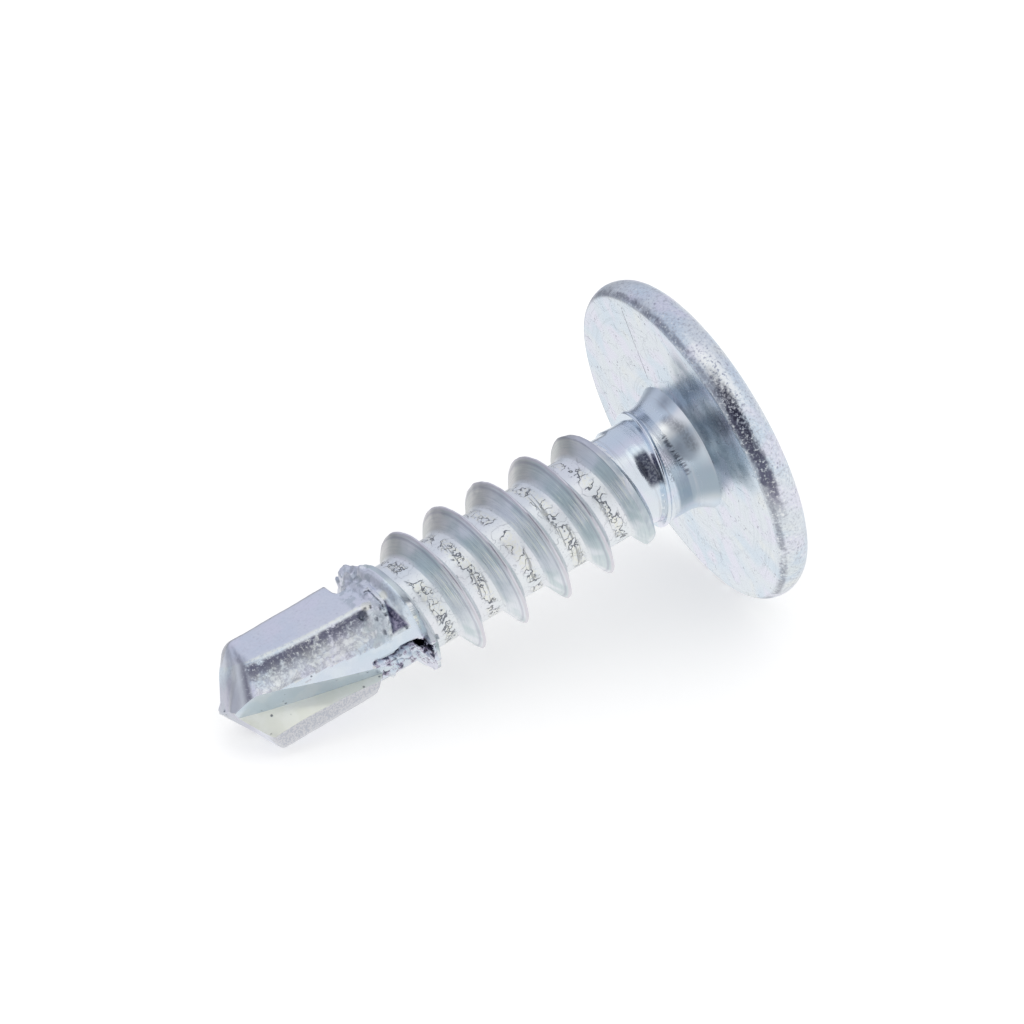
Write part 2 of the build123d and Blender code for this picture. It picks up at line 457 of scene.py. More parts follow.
def crest_reach(z):
    """How far out the crest reaches, and where it runs in and out."""
    run_in = [(NECK_LENGTH + along, ROOT_RADIUS + height) for along, height in RUN_IN]
    run_out = [(THREAD_END - back, ROOT_RADIUS + height) for back, height in RUN_OUT]
    ends = [(0, ROOT_RADIUS)] + run_in + run_out + [(THREAD_END, ROOT_RADIUS)]
    return ramp(*zip(*ends), z)


def last_crest(turn):
    """Place along the axis of the crest's last turn."""
    return FIRST_CREST + (WHOLE_TURNS + (turn - THREAD_TURN) % 360 / 360) * PITCH


def filled_end(turn, z):
    """The last root, which the forging filled on one side between the last crest and the drill."""
    middle, half_width, height = FILLED_ROOT
    facing = rise(np.abs(turn - middle), half_width, -24)
    return ROOT_RADIUS + height * facing * rise(z, last_crest(turn), 0.3)


def blank_radius(theta, z):
    """Round blank of the drill with its tilted, chamfered shoulder."""
    across = DRILL_RADIUS * np.cos(theta - radians(FLUTE_TURN))
    past = z - DRILL_START - across * tan(radians(SHOULDER_TILT))
    chamfered = DRILL_RADIUS - SHOULDER_CHAMFER + np.clip(past, -0.3, SHOULDER_CHAMFER)
    return np.where(past > -0.3, chamfered, 0)


def point_reach(theta, z, turn, angle, place):
    """How far out a facet of the point lets the metal reach."""
    facing = np.cos(theta - radians(turn))
    room = np.maximum(place - z, 0.002) * tan(radians(angle))
    return np.where(facing > 0.05, room / np.maximum(facing, 0.05), 99.0)


def forge(theta, z, reach):
    """Cuts the flats, the wash and the facets of the point into the drill."""
    run_out = np.clip(FLAT_RUN_OUT * (FLATS_START + 0.05 - z), 0, 0.6)
    flats = z > FLATS_START - 0.3
    for half_turn in (0, 180):
        side_turn = ramp(*zip(*SIDE_FLAT_TWIST), z)
        hinge = [np.cos(np.radians(side_turn)), np.sin(np.radians(side_turn))]
        side = SIDE_FLAT_HINGE[0] * hinge[0] + SIDE_FLAT_HINGE[1] * hinge[1]
        side = flat_reach(theta, np.radians(side_turn + half_turn), side + run_out)
        reach = np.where(flats, soft_cut(reach, side, SIDE_EDGE), reach)
        broad = flat_reach(theta, radians(half_turn), BROAD_FLAT + run_out)
        reach = np.where(flats, soft_cut(reach, broad, BROAD_EDGE), reach)
        wash = WASH - tan(radians(WASH_SLOPE)) * (z - WASH_START)
        wash = flat_reach(theta, radians(FLUTE_TURN + WASH_TURN + half_turn), wash)
        reach = np.where(z > WASH_START, soft_cut(reach, wash, WASH_EDGE), reach)
        heel = point_reach(theta, z, HEEL_TURN + half_turn, HEEL_ANGLE, POINT_LENGTH + HEEL_RISE)
        reach = soft_cut(reach, heel, HEEL_EDGE)
        lip = point_reach(theta, z, LIP_TURN + half_turn, LIP_ANGLE, POINT_LENGTH)
        reach = soft_cut(reach, lip, LIP_EDGES[half_turn])
    return reach


def scar(theta, z, reach):
    """Crevice beside the wash, notch, seam and pocket past the last crest, a pit and a bump."""
    turn = np.degrees(theta)
    gap = distance_to(CREVICE, theta, z, 1.5)
    reach = reach - ramp((10.9, 11.2), CREVICE_DEPTH, z) * np.exp(-(gap / 0.075) ** 2)
    reach = reach - NOTCH_DEPTH * np.clip(1.5 - distance_to(NOTCH, theta, z, 1.6) / 0.16, 0, 1)
    reach = reach - SEAM_DEPTH * np.exp(-(distance_to(SEAM, theta, z, 1.6) / 0.04) ** 2)
    tip, end, place, half_width = POCKET
    along = rise(turn, tip, end - tip)
    inside = (half_width * along - np.abs(z - place)) / 0.18 + 0.2
    reach = reach - POCKET_DEPTH * np.clip(inside, 0, 1) * np.clip((turn - end) / 5 + 1, 0, 1)
    for spot, height in ((PIT, -PIT_DEPTH), (BUMP, BUMP_HEIGHT)):
        away = np.hypot(np.radians(turn - spot[0]) * 1.6, z - spot[1])
        reach = reach + height * np.clip(1.4 - away / 0.09, 0, 1)
    return reach


def roughen(theta, z, reach):
    """Uneven forging on the drill, a torn end of the thread, and a ragged and chipped crest."""
    place = np.stack([reach * np.cos(theta), reach * np.sin(theta), z], axis=1)
    slow, fine, sharp = lumps(place, 1.3, 4.0), lumps(place, 5.0, 9.0), lumps(place, 3.4, 2.0)
    forged = rise(z, 10.1, 0.5) * rise(z, 15.7, -0.5)
    turn = np.degrees(theta)
    on_wash = np.abs((turn - FLUTE_TURN - WASH_TURN + 90) % 180 - 90) < 17
    reach = reach + forged * np.where(on_wash, 0.15, 1.0) * (0.016 * slow + 0.007 * fine)
    torn = rise(z, TORN_STRETCH[0], 0.2) * rise(z, TORN_STRETCH[1], -0.3)
    torn = torn * np.exp(-((turn - TORN_TURN) / 13) ** 2)
    reach = reach + torn * (0.04 + 0.20 * fine + 0.18 * sharp)
    on_crest = rise(reach, 1.72, 0.15) * (z > NECK_LENGTH)
    ragged = rise(z, 9.4, 0.3) * rise(np.abs(turn + 35), 40, 40)
    reach = reach - on_crest * ragged * 0.20 * np.clip(0.4 + 1.2 * sharp, 0, 1)
    chipped = rise(turn, CHIPPED_TURNS[0], 14) * rise(turn, CHIPPED_TURNS[1], -15)
    chipped = chipped * rise(z, 9.6, 0.2) * (z < 10.9) * rise(reach, 1.50, 0.15)
    reach = reach - chipped * (0.08 + 0.26 * sharp + 0.07 * fine)
    return reach + on_crest * (0.016 * sharp + 0.008 * fine - 0.008)


def make_shank():
    """The helical skin of the thread, drawn in to collar and neck and out to the forged drill."""
    shank = draw_profile("shank", thread_profile())
    start = FIRST_CREST - 3 * PITCH
    points = get_points(shank)
    points[:, 2] += start
    set_points(shank, points)
    turns = int((POINT_LENGTH + 1.5 - start) / PITCH) + 1
    apply(shank, "SCREW", steps=THREAD_STEPS, render_steps=THREAD_STEPS, angle=2 * pi,
          screw_offset=PITCH, iterations=turns, axis="Z", use_merge_vertices=True,
          merge_threshold=0.0005)
    points = get_points(join_up(shank))
    z = points[:, 2]
    theta = np.arctan2(points[:, 1], points[:, 0]) + radians(THREAD_TURN)
    theta = (theta + pi) % (2 * pi) - pi
    rolled = smooth_min(np.hypot(points[:, 0], points[:, 1]),
                        np.maximum(crest_reach(z), ROOT_RADIUS), 0.02)
    reach = smooth_max(rolled, collar_radius(theta, z), 0.03)
    reach = smooth_max(reach, filled_end(np.degrees(theta), z), 0.06)
    reach = smooth_max(reach, blank_radius(theta, z), 0.05)
    reach = np.maximum(roughen(theta, z, scar(theta, z, forge(theta, z, reach))), 0.003)
    turn = np.degrees(theta)
    bent = rise(turn, BENT_TURNS[0], 35) * rise(turn, BENT_TURNS[1], -20)
    z = z + LAST_CREST_BEND * bent * rise(z, 9.9, 0.25) * rise(z, 11.1, -0.7)
    set_points(shank, np.stack([reach * np.cos(theta), reach * np.sin(theta), z], axis=1))
    cut_off(shank, (0, 0, -SHANK_IN_HEAD), (0, 0, -1))
    cut_off(shank, (0, 0, POINT_LENGTH - CHISEL_CUT), (0, 0, 1))
    return face_outward(shank)


def make_die_ridge():
    """Thin ring of metal that the tilted dies left round the end of the collar."""
    half = DIE_RIDGE_WIDTH / 2
    top = arc((COLLAR_END_RADIUS, 0), DIE_RIDGE, 60, -60, 8)
    ring = lathe("die_ridge", [(0, half), (NECK_RADIUS - 0.05, half)] + top
                 + [(NECK_RADIUS - 0.05, -half), (0, -half)], TURNED_STEPS)
    ring.rotation_mode = "XYZ"
    ring.matrix_world = (Matrix.Rotation(radians(FLUTE_TURN), 4, "Z")
                         @ Matrix.Translation((0, 0, COLLAR_LENGTH))
                         @ Matrix.Rotation(radians(-DIE_TILT), 4, "Y"))
    return settle(ring)


# ---- flutes ----

def toward(turn):
    return Vector((cos(radians(turn)), sin(radians(turn)), 0))


def make_flute_tool():
    """V groove with ruled walls, deepest at the point and bowed a little between its ends."""
    reach = 2 * DRILL_RADIUS
    nothing_selected()
    bpy.ops.mesh.primitive_cylinder_add(vertices=3, radius=1, depth=2)
    tool = named("flute_tool")
    corners = {}
    ends = ((False, VALLEY_AT_END, RAKE_AT_END, BACK_AT_END, FLUTE_END),
            (True, VALLEY_AT_TIP, RAKE_AT_TIP, BACK_AT_TIP, POINT_LENGTH))
    for at_tip, valley, rake, back, place in ends:
        corner = Vector((*valley, place))
        corners[at_tip] = [corner, corner + toward(rake) * reach, corner + toward(back) * reach]
    points = get_points(tool)
    angles = np.round(np.degrees(np.arctan2(points[:, 1], points[:, 0])) / 120).astype(int) % 3
    order = sorted(set(angles))
    place_of = [order.index(angle) for angle in angles]
    for i, point in enumerate(points):
        points[i] = corners[bool(point[2] > 0)][place_of[i]]
    set_points(tool, points)
    add_slots(tool)
    for face in tool.data.polygons:
        on_back = {place_of[i] for i in face.vertices} == {0, 2}
        face.material_index = FINISHES.index(flute_back if on_back else flute_rake)
    apply(tool, "SUBSURF", subdivision_type="SIMPLE", levels=4, render_levels=4)
    points = get_points(tool)
    along = rise(points[:, 2], FLUTE_END, POINT_LENGTH - FLUTE_END)
    points[:, 0] += FLUTE_BOW * (1 - along**4)
    set_points(tool, points)
    return face_outward(tool)


def cut_flutes(screw):
    for half_turn in (0, 180):
        tool = make_flute_tool()
        tool.rotation_euler = (0, 0, radians(FLUTE_TURN + half_turn))
        combine(screw, settle(tool), "DIFFERENCE")
    return screw


# ---- the whole screw ----

def make_screw():
    screw, shank, ridge = make_head(), make_shank(), make_die_ridge()
    for piece in (screw, shank, ridge):
        add_slots(piece)
    combine(screw, cut_flutes(shank), "UNION")
    combine(screw, ridge, "UNION")
    screw.name = screw.data.name = "plated_screw"
    dress(screw)
    screw.data.transform(LAY)
    take(screw)
    bpy.ops.object.shade_smooth_by_angle(angle=radians(28))
    return screw


# ---- materials ----

class Nodes:
    """Short ways to add nodes to the tree of a material or a world."""

    def __init__(self, owner):
        owner.use_nodes = True
        self.owner = owner
        self.tree = owner.node_tree

    def add(self, kind, settings=None, **inputs):
        node = self.tree.nodes.new("ShaderNode" + kind)
        for key, setting in (settings or {}).items():
            setattr(node, key, setting)
        for key, given in inputs.items():
            self.give(node.inputs[key.replace("_", " ")], given)
        return node

    def give(self, socket, given):
        if isinstance(given, bpy.types.NodeSocket):
            self.tree.links.new(given, socket)
        else:
            socket.default_value = given

    def value(self, operation, *given):
        node = self.add("Math", {"operation": operation})
        for socket, number in zip(node.inputs, given):
            self.give(socket, number)
        return node.outputs[0]

    def vector(self, x, y, z):
        return self.add("CombineXYZ", X=x, Y=y, Z=z).outputs[0]

    def dot(self, vector, axis):
        node = self.add("VectorMath", {"operation": "DOT_PRODUCT"})
        self.give(node.inputs[0], vector)
        self.give(node.inputs[1], axis)
        return node.outputs["Value"]

    def times(self, *given):
        product = given[0]
        for factor in given[1:]:
            product = self.value("MULTIPLY", product, factor)
        return product

    def plus(self, *given):
        total = given[0]
        for number in given[1:]:
            total = self.value("ADD", total, number)
        return total

    def largest(self, *given):
        greatest = given[0]
        for number in given[1:]:
            greatest = self.value("MAXIMUM", greatest, number)
        return greatest

    def less(self, first, second):
        return self.value("SUBTRACT", first, second)

    def size(self, number):
        return self.value("ABSOLUTE", number)

    def step(self, value, low, high, kind="SMOOTHSTEP"):
        """0 below low and 1 above high, smooth between, or the other way round."""
        settings = {"interpolation_type": kind}
        if low < high:
            return self.add("MapRange", settings, Value=value, From_Min=low,
                            From_Max=high).outputs[0]
        return self.add("MapRange", settings, Value=value, From_Min=high, From_Max=low, To_Min=1.0,
                        To_Max=0.0).outputs[0]

    def band(self, value, low, high, softness):
        rise = self.step(value, low - softness, low + softness)
        fall = self.step(value, high + softness, high - softness)
        return self.times(rise, fall)

    def blend(self, factor, first, second):
        node = self.add("Mix", {"data_type": "RGBA"})
        for socket, given in ((0, factor), (6, first), (7, second)):
            self.give(node.inputs[socket], given)
        return node.outputs[2]

    def paint(self, colour, *coats):
        """Lays coats over a colour, each with its share and its own colour."""
        for share, coat in coats:
            colour = self.blend(share, colour, coat)
        return colour

    def sum(self, *parts):
        """Adds up parts, each times its weight."""
        return self.plus(*(self.times(part, weight) for part, weight in parts))


class Look(Nodes):
    """One plated finish. Places are in millimetres at the bench."""

    def __init__(self, name):
        super().__init__(bpy.data.materials.new(name))
        self.shader = self.tree.nodes["Principled BSDF"]
        self.place = self.bench_place()
        self.x, self.y, self.z = self.add("SeparateXYZ", Vector=self.place).outputs
        self.theta = self.value("ARCTAN2", self.y, self.x)
        self.radius = self.value("SQRT", self.sum((self.x, self.x), (self.y, self.y)))

    def bench_place(self):
        back = LAY.inverted()
        place = self.add("TexCoord").outputs["Object"]
        turn = back.to_3x3().normalized().to_euler()
        return self.add("Mapping", Vector=place, Location=back.to_translation(), Rotation=turn,
                        Scale=(1 / MM,) * 3).outputs["Vector"]

    def noise(self, place, scale, detail=2.0, roughness=0.5):
        return self.add("TexNoise", Vector=place, Scale=scale, Detail=detail,
                        Roughness=roughness).outputs[0]

    def cells(self, scale):
        return self.add("TexVoronoi", Vector=self.place, Scale=scale).outputs[0]

    def drawn(self, across, along):
        """The place with its own measures across and along the axis."""
        return self.vector(self.times(self.x, across), self.times(self.y, across), along)

    def rings(self, fineness, scale=1.0, detail=3.0):
        """Noise drawn out round the axis."""
        return self.noise(self.drawn(0.35, self.times(self.z, fineness)), scale, detail, 0.6)

    def outlines(self, scale, width, seed=0.0):
        """Thin irregular closed lines, as round flakes and laps."""
        place = self.vector(self.plus(self.x, seed), self.y, self.z)
        level = self.size(self.less(self.noise(place, scale, 3.0, 0.55), 0.5))
        return self.step(level, width, 0.25 * width)

    def specks(self, scale, size, share=0.56):
        """Small pits: 1 in a speck and 0 elsewhere."""
        chosen = self.noise(self.place, 0.45 * scale, 1.0)
        return self.times(self.step(self.cells(scale), size, 0.5 * size),
                          self.step(chosen, share, share + 0.06))

    def away_from(self, turn, place, radius):
        """Distance from a spot on the skin."""
        node = self.add("VectorMath", {"operation": "DISTANCE"})
        self.give(node.inputs[0], self.place)
        self.give(node.inputs[1], toward(turn) * radius + Vector((0, 0, place)))
        return node.outputs["Value"]

    def from_path(self, path, radius):
        """Distance along the skin to a path of turns and places."""
        skin = self.vector(self.times(self.theta, radius), self.z, 0.0)
        path = [Vector((radians(turn) * radius, place, 0)) for turn, place in path]
        nearest = 99.0
        for near, far in zip(path, path[1:]):
            step = far - near
            ahead = self.less(self.dot(skin, step), near.dot(step))
            share = self.step(ahead, 0.0, step.length_squared, "LINEAR")
            foot = self.add("VectorMath", {"operation": "MULTIPLY_ADD"})
            for socket, given in zip(foot.inputs, (self.vector(share, share, 0.0), step, near)):
                self.give(socket, given)
            away = self.add("VectorMath", {"operation": "DISTANCE"})
            self.give(away.inputs[0], skin)
            self.give(away.inputs[1], foot.outputs[0])
            nearest = self.value("MINIMUM", away.outputs["Value"], nearest)
        return nearest

    def line(self, start, end, width):
        """1 on a straight line between two places across the axis, and 0 off it."""
        along = Vector((*end, 0)) - Vector((*start, 0))
        length = along.length
        along.normalize()
        aside = Vector((-along.y, along.x, 0))
        out = self.size(self.less(self.dot(self.place, aside), Vector((*start, 0)).dot(aside)))
        reached = self.less(self.dot(self.place, along), Vector((*start, 0)).dot(along))
        return self.times(self.step(out, width, 0.3 * width), self.band(reached, 0.0, length, 0.05))

    def finish(self, colour, roughness, height, metallic=1.0):
        """Plated metal: a colour, a roughness, and a height in micrometres as bump."""
        self.give(self.shader.inputs["Base Color"], colour)
        self.give(self.shader.inputs["Roughness"], roughness)
        self.shader.inputs["Metallic"].default_value = metallic
        bump = self.add("Bump", Height=height, Distance=MM / 1000, Strength=1.0)
        self.give(self.shader.inputs["Normal"], bump.outputs[0])
        return self.owner


ZINC = (0.74, 0.79, 0.84, 1)
ZINC_BLUE = (0.66, 0.75, 0.84, 1)
ZINC_LAVENDER = (0.76, 0.77, 0.87, 1)
ZINC_YELLOW = (0.86, 0.86, 0.77, 1)
ZINC_TEAL = (0.40, 0.47, 0.52, 1)
BEIGE = (0.78, 0.79, 0.73, 1)
WHITE = (0.90, 0.92, 0.93, 1)
DULL = (0.50, 0.52, 0.57, 1)
PURPLE = (0.30, 0.30, 0.40, 1)
# dark grime, also used for the painted dark reflection on the bearing face
GRIME_AND_DARK_REFLECTION = (0.07, 0.08, 0.12, 1)
CRACK = (0.02, 0.02, 0.04, 1)
# painted teal reflection on the bearing face
FACE_REFLECTION_TEAL = (0.17, 0.24, 0.30, 1)
RIM_DARK_BAND = (0.09, 0.09, 0.15, 1)
# painted shade on the collar
COLLAR_SHADE = (0.30, 0.38, 0.45, 1)
# painted dark reflection on the neck
NECK_PAINTED_REFLECTION = (0.035, 0.04, 0.085, 1)
FLANK_TEAL = (0.61, 0.69, 0.72, 1)
FLANK_PALE = (0.80, 0.83, 0.88, 1)
# painted shade on one side of the flanks
FLANK_SHADE_BEIGE = (0.55, 0.53, 0.51, 1)
FLANK_DEEP = (0.36, 0.43, 0.46, 1)
# light flank streaks, made into a painted highlight in one band
FLANK_CREAM_HIGHLIGHT = (0.94, 0.96, 0.87, 1)
CREST_GREY = (0.72, 0.71, 0.76, 1)
LAND_GREY = (0.66, 0.66, 0.68, 1)
# painted dark reflection under the drill's ridge
SIDE_DARK_REFLECTION = (0.15, 0.15, 0.22, 1)
# the same painted dark reflection on the heel
HEEL_DARK_REFLECTION = (0.20, 0.20, 0.26, 1)
# painted highlight on the drill's ridge
RIDGE_HIGHLIGHT_CREAM = (0.90, 0.92, 0.86, 1)
POCKET_NAVY = (0.06, 0.06, 0.12, 1)
POCKET_VIOLET = (0.30, 0.28, 0.40, 1)
GRIT = (0.42, 0.38, 0.48, 1)
RAKE_CREAM = (0.76, 0.78, 0.71, 1)
BACK_BLUE = (0.60, 0.70, 0.79, 1)

# the ridge between broad and side flat: where it starts, and how far it then sweeps
RIDGE_START = 11.0
RIDGE_OFFSET = -0.57
RIDGE_SWEEP_LENGTH = 3.7
RIDGE_SWEEP = 0.36
SIDE_STEEPNESS = 1.45
SIDE_FACING = (0.82, -0.57)
SIDE_DISTANCE = 1.31


def film(look, yellow=0.6, scale=0.6):
    """The thin passivated film: slow changes between blue, lavender and pale yellow."""
    slow = look.noise(look.place, scale, 1.0)
    other = look.noise(look.vector(look.y, look.z, look.x), 1.7 * scale, 1.0)
    return look.paint(
        ZINC,
        (look.step(slow, 0.42, 0.60), ZINC_BLUE),
        (look.step(other, 0.48, 0.66), ZINC_LAVENDER),
        (look.times(look.step(other, 0.40, 0.28), yellow), ZINC_YELLOW))


def bearing_face():
    """Radial scratches, turned rings, and a painted teal reflection with a darker painted core
    between the collar and the rim.
    """
    look = Look("bearing_face_plating")
    across = look.largest(look.radius, 0.5)
    outward = look.vector(look.times(look.value("DIVIDE", look.x, across), 9.0),
                          look.times(look.value("DIVIDE", look.y, across), 9.0),
                          look.times(look.radius, 0.5))
    radial = look.step(look.noise(outward, 3.0, 3.0, 0.6), 0.63, 0.70)
    rings = look.noise(look.drawn(0.3, look.times(look.radius, 7.0)), 1.3, 3.0, 0.7)
    grain = look.noise(look.place, 12.0, 3.0, 0.65)
    slow = look.noise(look.place, 1.4, 2.0)
    pits = look.specks(6.0, 0.26)
    hairs = look.times(look.outlines(0.8, 0.005), 0.3)
    scratch = look.times(look.largest(look.line(*FACE_SCRATCH, 0.025), hairs),
                         look.step(grain, 0.62, 0.50))
    # painted teal reflection between the collar and the rim, on one side
    painted_reflection = look.times(look.band(look.theta, -1.34, -0.26, 0.10),
                       look.band(look.radius, 1.7, 4.5, 0.35),
                       look.plus(0.45, look.times(look.step(slow, 0.40, 0.60), 0.35)))
    # darker painted reflection spot inside it
    core = look.times(look.step(look.away_from(*FACE_REFLECTION_SPOT), 0.9, 0.2),
                      look.step(rings, 0.42, 0.58), 0.5)
    colour = look.paint(
        film(look, 0.25),
        (look.times(look.step(rings, 0.50, 0.72), 0.25), ZINC_TEAL),
        (painted_reflection, FACE_REFLECTION_TEAL),
        (core, GRIME_AND_DARK_REFLECTION),
        (look.times(radial, 0.25), PURPLE),
        (look.times(look.largest(scratch, look.times(pits, 0.7)), 0.9), PURPLE))
    roughness = look.plus(0.20, look.sum((grain, 0.12), (radial, 0.15)))
    height = look.sum((grain, 1.5), (rings, 2.5), (radial, -3.0), (scratch, -9.0), (pits, -8.0))
    return look.finish(colour, roughness, height)


def grained(look, contrast, relief, depth):
    """Matt forged grain: its colour, roughness and height, and its two noises."""
    grain = look.noise(look.place, 11.0, 4.0, 0.7)
    clouds = look.noise(look.place, 2.4, 3.0, 0.6)
    colour = look.paint(
        film(look, 0.3),
        (look.times(look.step(grain, 0.50, 0.34), contrast), DULL),
        (look.times(look.step(grain, 0.54, 0.66), contrast), WHITE),
        (look.times(look.specks(6.0, 0.30), contrast, 0.7), PURPLE))
    roughness = look.plus(0.24, look.times(grain, 0.20))
    return colour, roughness, look.sum((grain, relief), (clouds, depth)), grain, clouds


def rim():
    """Grained, with a dark band along its inner edge and a bright scuffed stretch beside it."""
    look = Look("rim_plating")
    colour, roughness, height, grain, clouds = grained(look, 0.85, 8.0, 12.0)
    below = look.plus(look.z, look.times(look.less(clouds, 0.5), 0.5))
    wide = look.times(look.band(below, -0.40, -0.06, 0.09),
                      look.band(look.theta, -1.42, -0.62, 0.18))
    thin = look.times(look.band(look.z, -0.18, -0.03, 0.05), look.step(clouds, 0.36, 0.52), 0.55)
    # dark band along the inner edge: wide on one side, thin all round
    scale = look.times(look.largest(wide, thin), look.step(grain, 0.70, 0.50))
    scuffed = look.times(look.band(look.theta, -0.80, -0.38, 0.10),
                         look.band(look.z, -0.72, -0.20, 0.10))
    colour = look.paint(
        colour,
        (look.times(scuffed, look.step(grain, 0.42, 0.50), 0.9), WHITE),
        (look.times(scuffed, look.step(grain, 0.44, 0.36), 0.7), PURPLE),
        (look.times(scale, 0.92), RIM_DARK_BAND))
    return look.finish(colour, roughness, look.plus(height, look.times(scale, -12.0)))


def crown():
    look = Look("crown_plating")
    return look.finish(*grained(look, 0.45, 4.0, 14.0)[:3])


def recess():
    look = Look("recess_plating")
    lines = look.noise(look.drawn(1.0, look.times(look.z, 0.15)), 9.0, 3.0)
    colour = look.blend(look.step(lines, 0.35, 0.65), DULL, film(look))
    return look.finish(colour, look.plus(0.25, look.times(lines, 0.2)), look.times(lines, 6.0))


def neck():
    """Bright rolled metal, with fine rings, short dark scores on the collar, a painted highlight
    and painted shade on the collar, and a painted dark reflection patch on the neck.
    """
    look = Look("neck_plating")
    rings = look.rings(9.0)
    grain = look.noise(look.place, 13.0, 3.0, 0.6)
    scores = look.noise(look.drawn(7.0, look.times(look.z, 2.2)), 2.5, 2.0)
    collar = look.step(look.z, COLLAR_LENGTH - 0.1, COLLAR_LENGTH - 0.2)
    dashes = look.times(look.step(scores, 0.36, 0.66),
                        look.step(look.from_path(COLLAR_DASHES, COLLAR_END_RADIUS), 0.13, 0.03))
    smudge = look.times(look.step(look.from_path(COLLAR_SMUDGE, 1.75), 0.26, 0.02),
                        look.plus(0.40, look.times(look.step(grain, 0.58, 0.46), 0.25)))
    scrape = look.times(look.step(look.from_path(COLLAR_SCRAPE, COLLAR_END_RADIUS), 0.09, 0.03),
                        look.step(grain, 0.56, 0.44), 0.6)
    # painted highlight on the collar
    painted_highlight = look.step(look.away_from(*COLLAR_PAINTED_HIGHLIGHT, COLLAR_END_RADIUS), 0.34, 0.14)
    scuffed = look.step(look.away_from(*COLLAR_SCUFF, 1.75), 0.75, 0.35)
    # painted dark reflection patch on the neck; it also makes the metal rougher there
    painted_dark_reflection = look.times(look.band(look.theta, -1.22, -0.52, 0.09),
                       look.band(look.z, 1.45, 1.84, 0.06),
                       look.plus(0.75, look.times(look.step(grain, 0.60, 0.44), 0.25)))
    colour = look.paint(
        film(look, 0.3),
        (look.times(look.step(look.theta, -0.35, 0.0), 0.8), ZINC_BLUE),
        # painted highlight band on the collar, then painted shade on its far side
        (look.times(look.band(look.theta, -0.62, -0.30, 0.08), collar, 0.8), WHITE),
        (look.times(look.band(look.theta, -1.95, -1.15, 0.25), collar, 0.85), COLLAR_SHADE),
        (look.times(look.step(rings, 0.56, 0.68), 0.4), DULL),
        (look.times(painted_highlight, 0.8), WHITE),
        (look.times(look.largest(dashes, smudge, scrape), 0.75), GRIME_AND_DARK_REFLECTION),
        (look.times(painted_dark_reflection, 0.92), NECK_PAINTED_REFLECTION))
    roughness = look.plus(0.12, look.sum((grain, 0.12), (look.step(look.z, 0.7, 0.3), 0.14),
                                         (scuffed, 0.26), (painted_dark_reflection, 0.22)))
    height = look.sum((rings, 4.0), (scores, 2.0), (grain, 1.2), (dashes, -6.0))
    return look.finish(colour, roughness, height)


def thread():
    """Streaked teal flanks with painted shade on one side and painted highlights on their streaks,
    a pale crest, and roots with the flakes and laps of the rolling.
    """
    look = Look("thread_plating")
    turns = look.plus(look.sum((look.z, 1 / PITCH), (look.theta, -1 / (2 * pi))),
                      THREAD_TURN / 360 - FIRST_CREST / PITCH)
    across = look.value("FRACT", turns)
    streaks = look.noise(look.drawn(0.5, look.sum((look.radius, 19.0), (look.z, 1.1))),
                         1.9, 4.0, 0.7)
    root = look.step(look.radius, ROOT_RADIUS + 0.14, ROOT_RADIUS + 0.03)
    crest = look.step(look.radius, CREST_RADIUS - 0.09, CREST_RADIUS - 0.04)
    under_crest = look.band(look.radius, CREST_RADIUS - 0.17, CREST_RADIUS - 0.11, 0.03)
    middle = look.times(look.band(across, 0.38, 0.64, 0.05), root)
    grain = look.noise(look.place, 12.0, 3.0, 0.65)
    patches = look.noise(look.place, 1.3, 3.0, 0.6)
    clouds = look.noise(look.place, 0.9, 2.0, 0.5)
    lapped = look.times(look.step(patches, 0.46, 0.49), middle)
    edge = look.times(look.step(look.size(look.less(patches, 0.475)), 0.018, 0.005), middle)
    strokes = look.times(look.step(look.rings(9.0, 1.3, 2.0), 0.60, 0.66), lapped, 0.6)
    chips = look.times(look.outlines(2.3, 0.017), lapped)
    hairs = look.times(look.outlines(0.9, 0.005, 7.0), root, 0.3)
    dark = look.times(look.largest(edge, strokes, chips, hairs), look.step(grain, 0.34, 0.46))
    # painted highlight band round the turn, where the real streaks are made brighter and more
    # contrasting
    highlight_band = look.times(look.band(look.theta, -1.20, -0.42, 0.20), look.step(clouds, 0.36, 0.50))
    deep = look.times(look.step(streaks, 0.50, 0.38), look.plus(0.22, look.times(highlight_band, 0.40)))
    light = look.times(look.step(streaks, 0.52, 0.62), look.plus(0.12, look.times(highlight_band, 0.80)))
    flank = look.paint(
        look.blend(look.step(clouds, 0.42, 0.58), FLANK_TEAL, FLANK_PALE),
        # painted shade: the flanks darker and beige on one side
        (look.times(look.step(look.theta, 0.0, 0.5), 0.6), FLANK_SHADE_BEIGE),
        (deep, FLANK_DEEP),
        (light, FLANK_CREAM_HIGHLIGHT))
    colour = look.paint(
        flank,
        (root, look.blend(0.7, film(look, 0.3), WHITE)),
        (crest, CREST_GREY),
        (look.times(under_crest, 0.4), PURPLE),
        (look.times(look.step(grain, 0.42, 0.34), root, 0.4), DULL),
        (look.times(lapped, look.step(grain, 0.40, 0.60), 0.7), ZINC_YELLOW),
        (look.times(dark, 0.8), GRIME_AND_DARK_REFLECTION))
    roughness = look.plus(0.26, look.sum((root, 0.06), (grain, 0.12)))
    height = look.sum((grain, 2.5), (dark, -16.0), (lapped, 6.0),
                      (look.times(streaks, look.less(1.0, root)), 8.0),
                      (look.times(patches, root), 18.0))
    return look.finish(colour, roughness, height)


def pocket_paint(look):
    """1 in the three-cornered pocket past the last crest, and 0 elsewhere."""
    tip, end, place, half_width = POCKET
    along = look.times(look.less(look.theta, radians(tip)), 1 / radians(end - tip))
    inside = look.less(look.times(along, half_width), look.size(look.less(look.z, place)))
    return look.times(look.step(inside, -0.03, 0.05),
                      look.step(look.theta, radians(end - 4), radians(end)))


